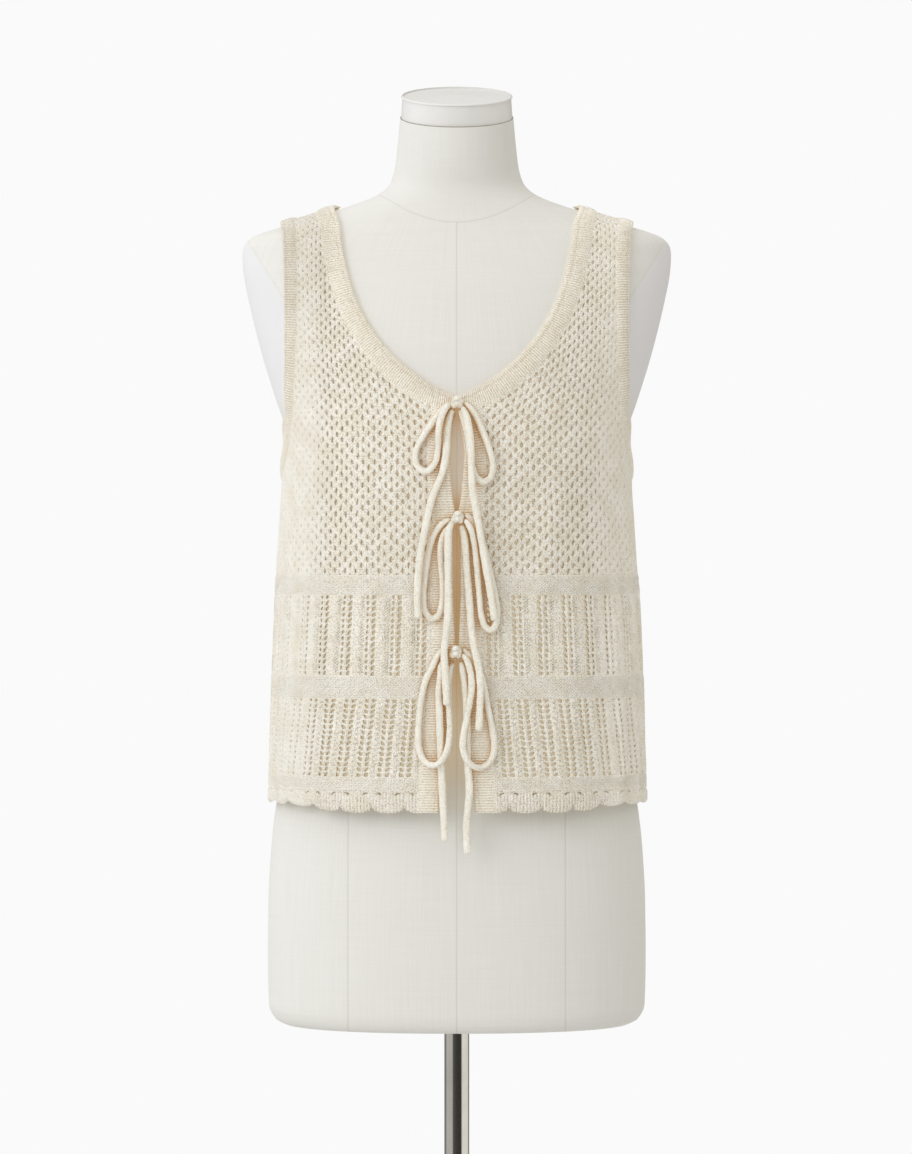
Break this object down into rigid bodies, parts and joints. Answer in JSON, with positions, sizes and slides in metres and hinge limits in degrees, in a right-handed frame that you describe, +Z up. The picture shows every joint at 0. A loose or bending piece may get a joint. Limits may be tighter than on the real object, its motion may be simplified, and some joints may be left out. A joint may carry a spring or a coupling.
{
  "type": "knitted lace tie-front vest top on a limbless dress form and its pole stand",
  "caption": "Cream lace-knit sleeveless top with a scooped neck, tied in front with three cord bows, worn by a white limbless dress form on a pole stand.",
  "frame": {"origin": "centre of the stand base's underside, on the floor", "axes": "+Z up, -Y towards the garment's front, +X to the right seen from the front"},
  "size_m": [0.3864, 0.34, 1.3459],
  "materials": {
    "knit_cotton": "matte cream lace knit with open eyelets",
    "tie_cord": "matte cream knitted cord",
    "form_linen": "matte white woven cover",
    "cap_satin_paint": "satin white",
    "polished_steel": "polished steel"
  },
  "bodies": {
    "root": {"front_left": "knit_cotton", "front_right": "knit_cotton", "back_panel": "knit_cotton", "placket_left": "knit_cotton", "placket_right": "knit_cotton", "neckband": "knit_cotton", "armband_left": "knit_cotton", "armband_right": "knit_cotton", "knot_top": "tie_cord", "knot_middle": "tie_cord", "knot_bottom": "tie_cord", "tie_top_left_loop": "tie_cord", "tie_top_left_tail": "tie_cord", "tie_top_right_loop": "tie_cord", "tie_top_right_tail": "tie_cord", "tie_middle_left_loop": "tie_cord", "tie_middle_left_tail": "tie_cord", "tie_middle_right_loop": "tie_cord", "tie_middle_right_tail": "tie_cord", "tie_bottom_left_loop": "tie_cord", "tie_bottom_left_tail": "tie_cord", "tie_bottom_right_loop": "tie_cord", "tie_bottom_right_tail": "tie_cord", "form_torso": "form_linen", "neck_cap": "cap_satin_paint", "stand_pole": "polished_steel", "stand_base": "polished_steel"}
  },
  "joints": []
}
